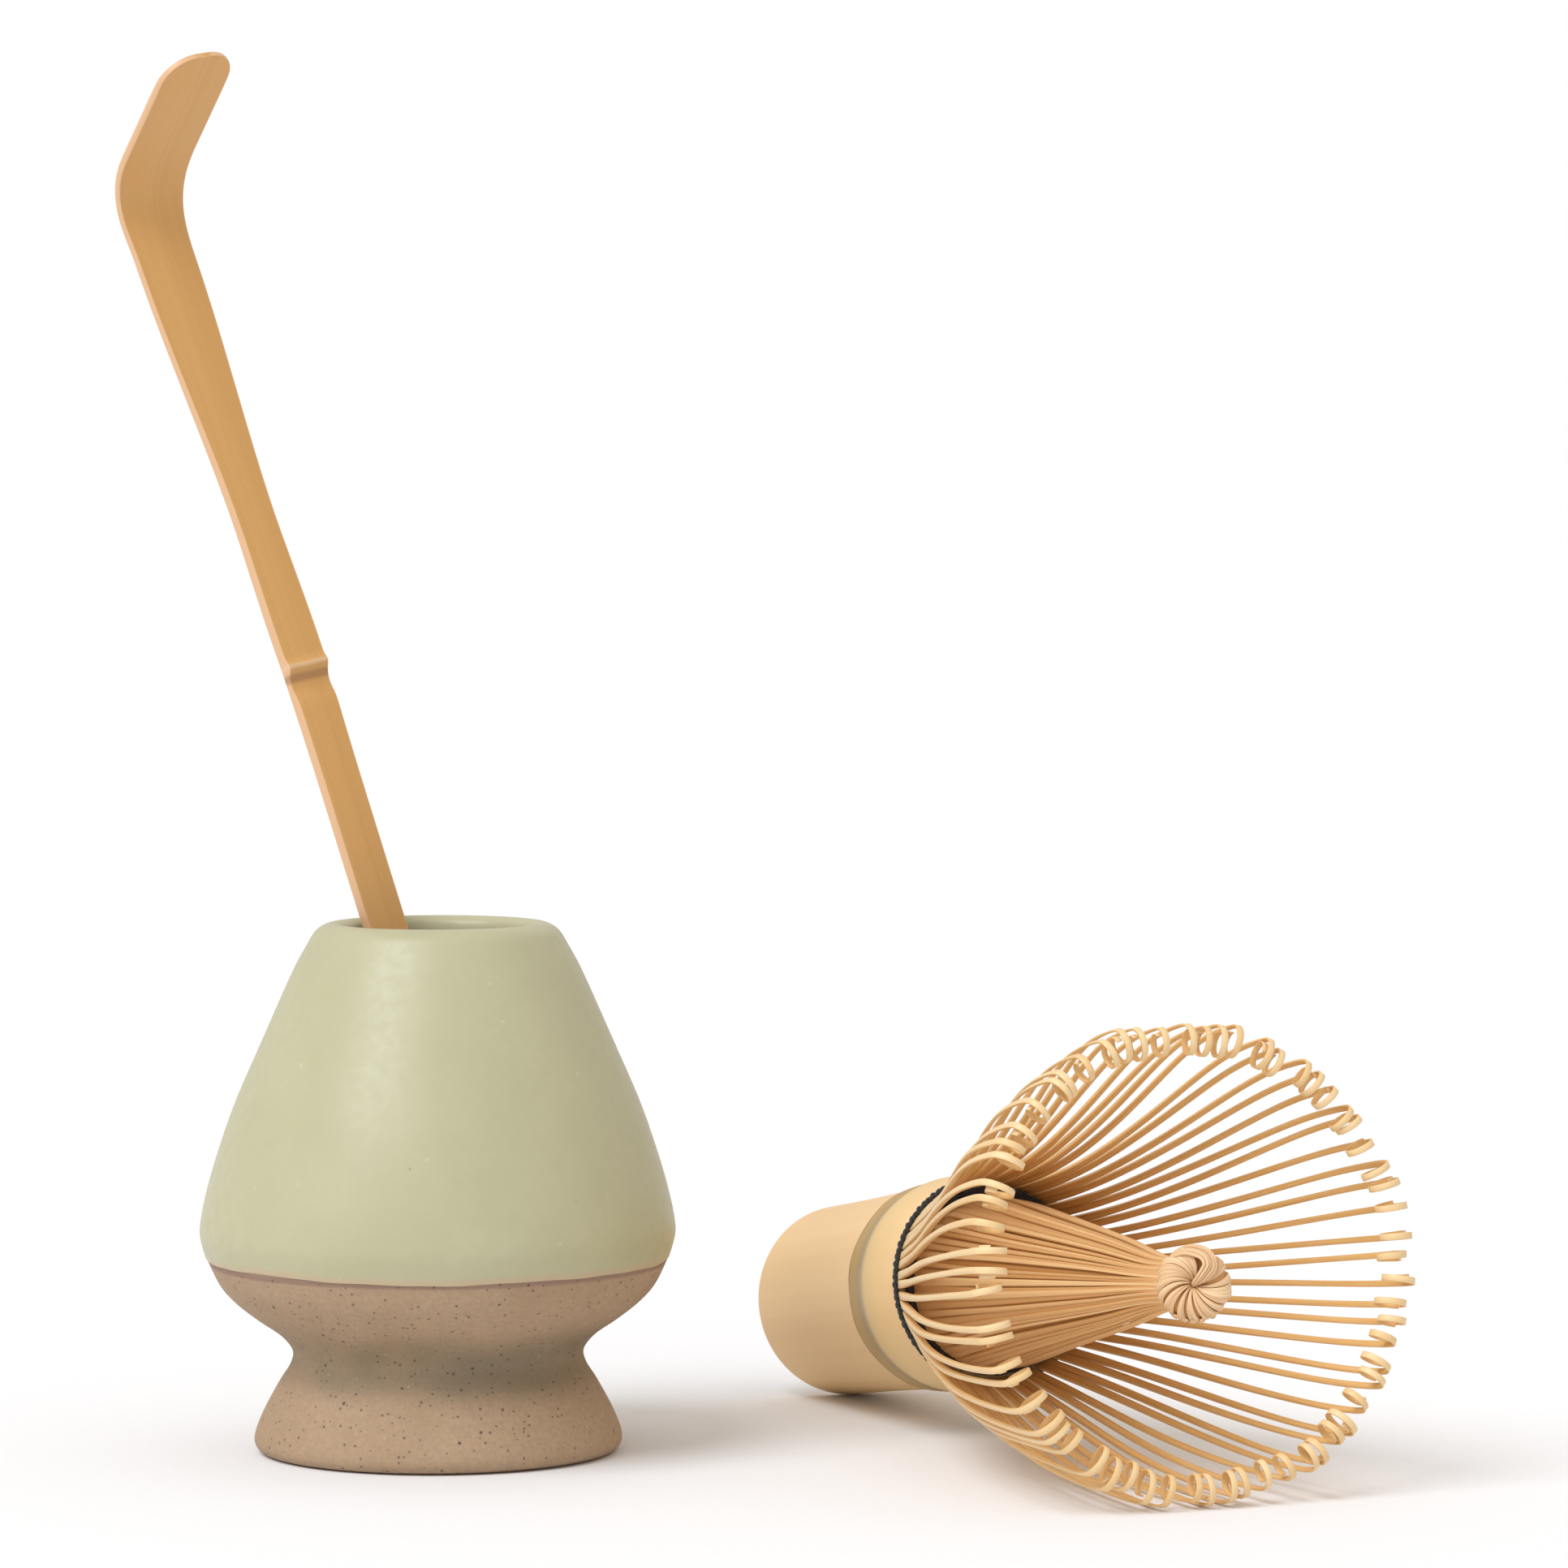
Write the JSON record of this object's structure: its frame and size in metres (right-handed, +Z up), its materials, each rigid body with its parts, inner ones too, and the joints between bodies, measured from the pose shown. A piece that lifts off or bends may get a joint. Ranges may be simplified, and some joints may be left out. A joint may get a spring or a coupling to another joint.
{
  "type": "tea whisk stand with scoop and whisk",
  "caption": "Hollow glazed stoneware whisk stand with a bamboo tea scoop standing in its mouth and a bamboo tea whisk lying beside it.",
  "frame": {"origin": "centre of the stand's foot, on the surface that the set rests on", "axes": "+Z up along the stand's axis, +X to the whisk's side, -Y to the front, where the whisk's head points"},
  "size_m": [0.1729, 0.1244, 0.1885],
  "materials": {
    "stoneware": "bare speckled stoneware, matte",
    "sage_glaze": "sage green satin glaze",
    "scoop_bamboo": "golden bamboo, smooth and lightly polished",
    "culm_bamboo": "pale bamboo skin, satin",
    "tine_bamboo": "split bamboo strips, satin",
    "knot_bamboo": "twisted pale bamboo tips",
    "black_thread": "twisted black cotton thread"
  },
  "bodies": {
    "stand": {"stand_body": "stoneware", "glaze_coat": "sage_glaze"},
    "scoop": {"scoop": "scoop_bamboo"},
    "whisk": {"whisk_handle": "culm_bamboo", "outer_tines_1": "tine_bamboo", "outer_tines_2": "tine_bamboo", "outer_tines_3": "tine_bamboo", "outer_tines_4": "tine_bamboo", "outer_tines_5": "tine_bamboo", "outer_tines_6": "tine_bamboo", "outer_tines_7": "tine_bamboo", "outer_tines_8": "tine_bamboo", "inner_tines_1": "tine_bamboo", "inner_tines_2": "tine_bamboo", "inner_tines_3": "tine_bamboo", "inner_tines_4": "tine_bamboo", "tine_knot": "knot_bamboo", "outer_thread": "black_thread", "inner_thread": "black_thread"}
  },
  "joints": [
    {"name": "scoop_lift", "type": "slide", "parent": "stand", "child": "scoop", "axis": [-0.299, 0.0998, 0.949], "range_m": [0, 0.09]},
    {"name": "whisk_lift", "type": "slide", "parent": "stand", "child": "whisk", "axis": [0, 0, 1], "range_m": [0, 0.12]}
  ]
}
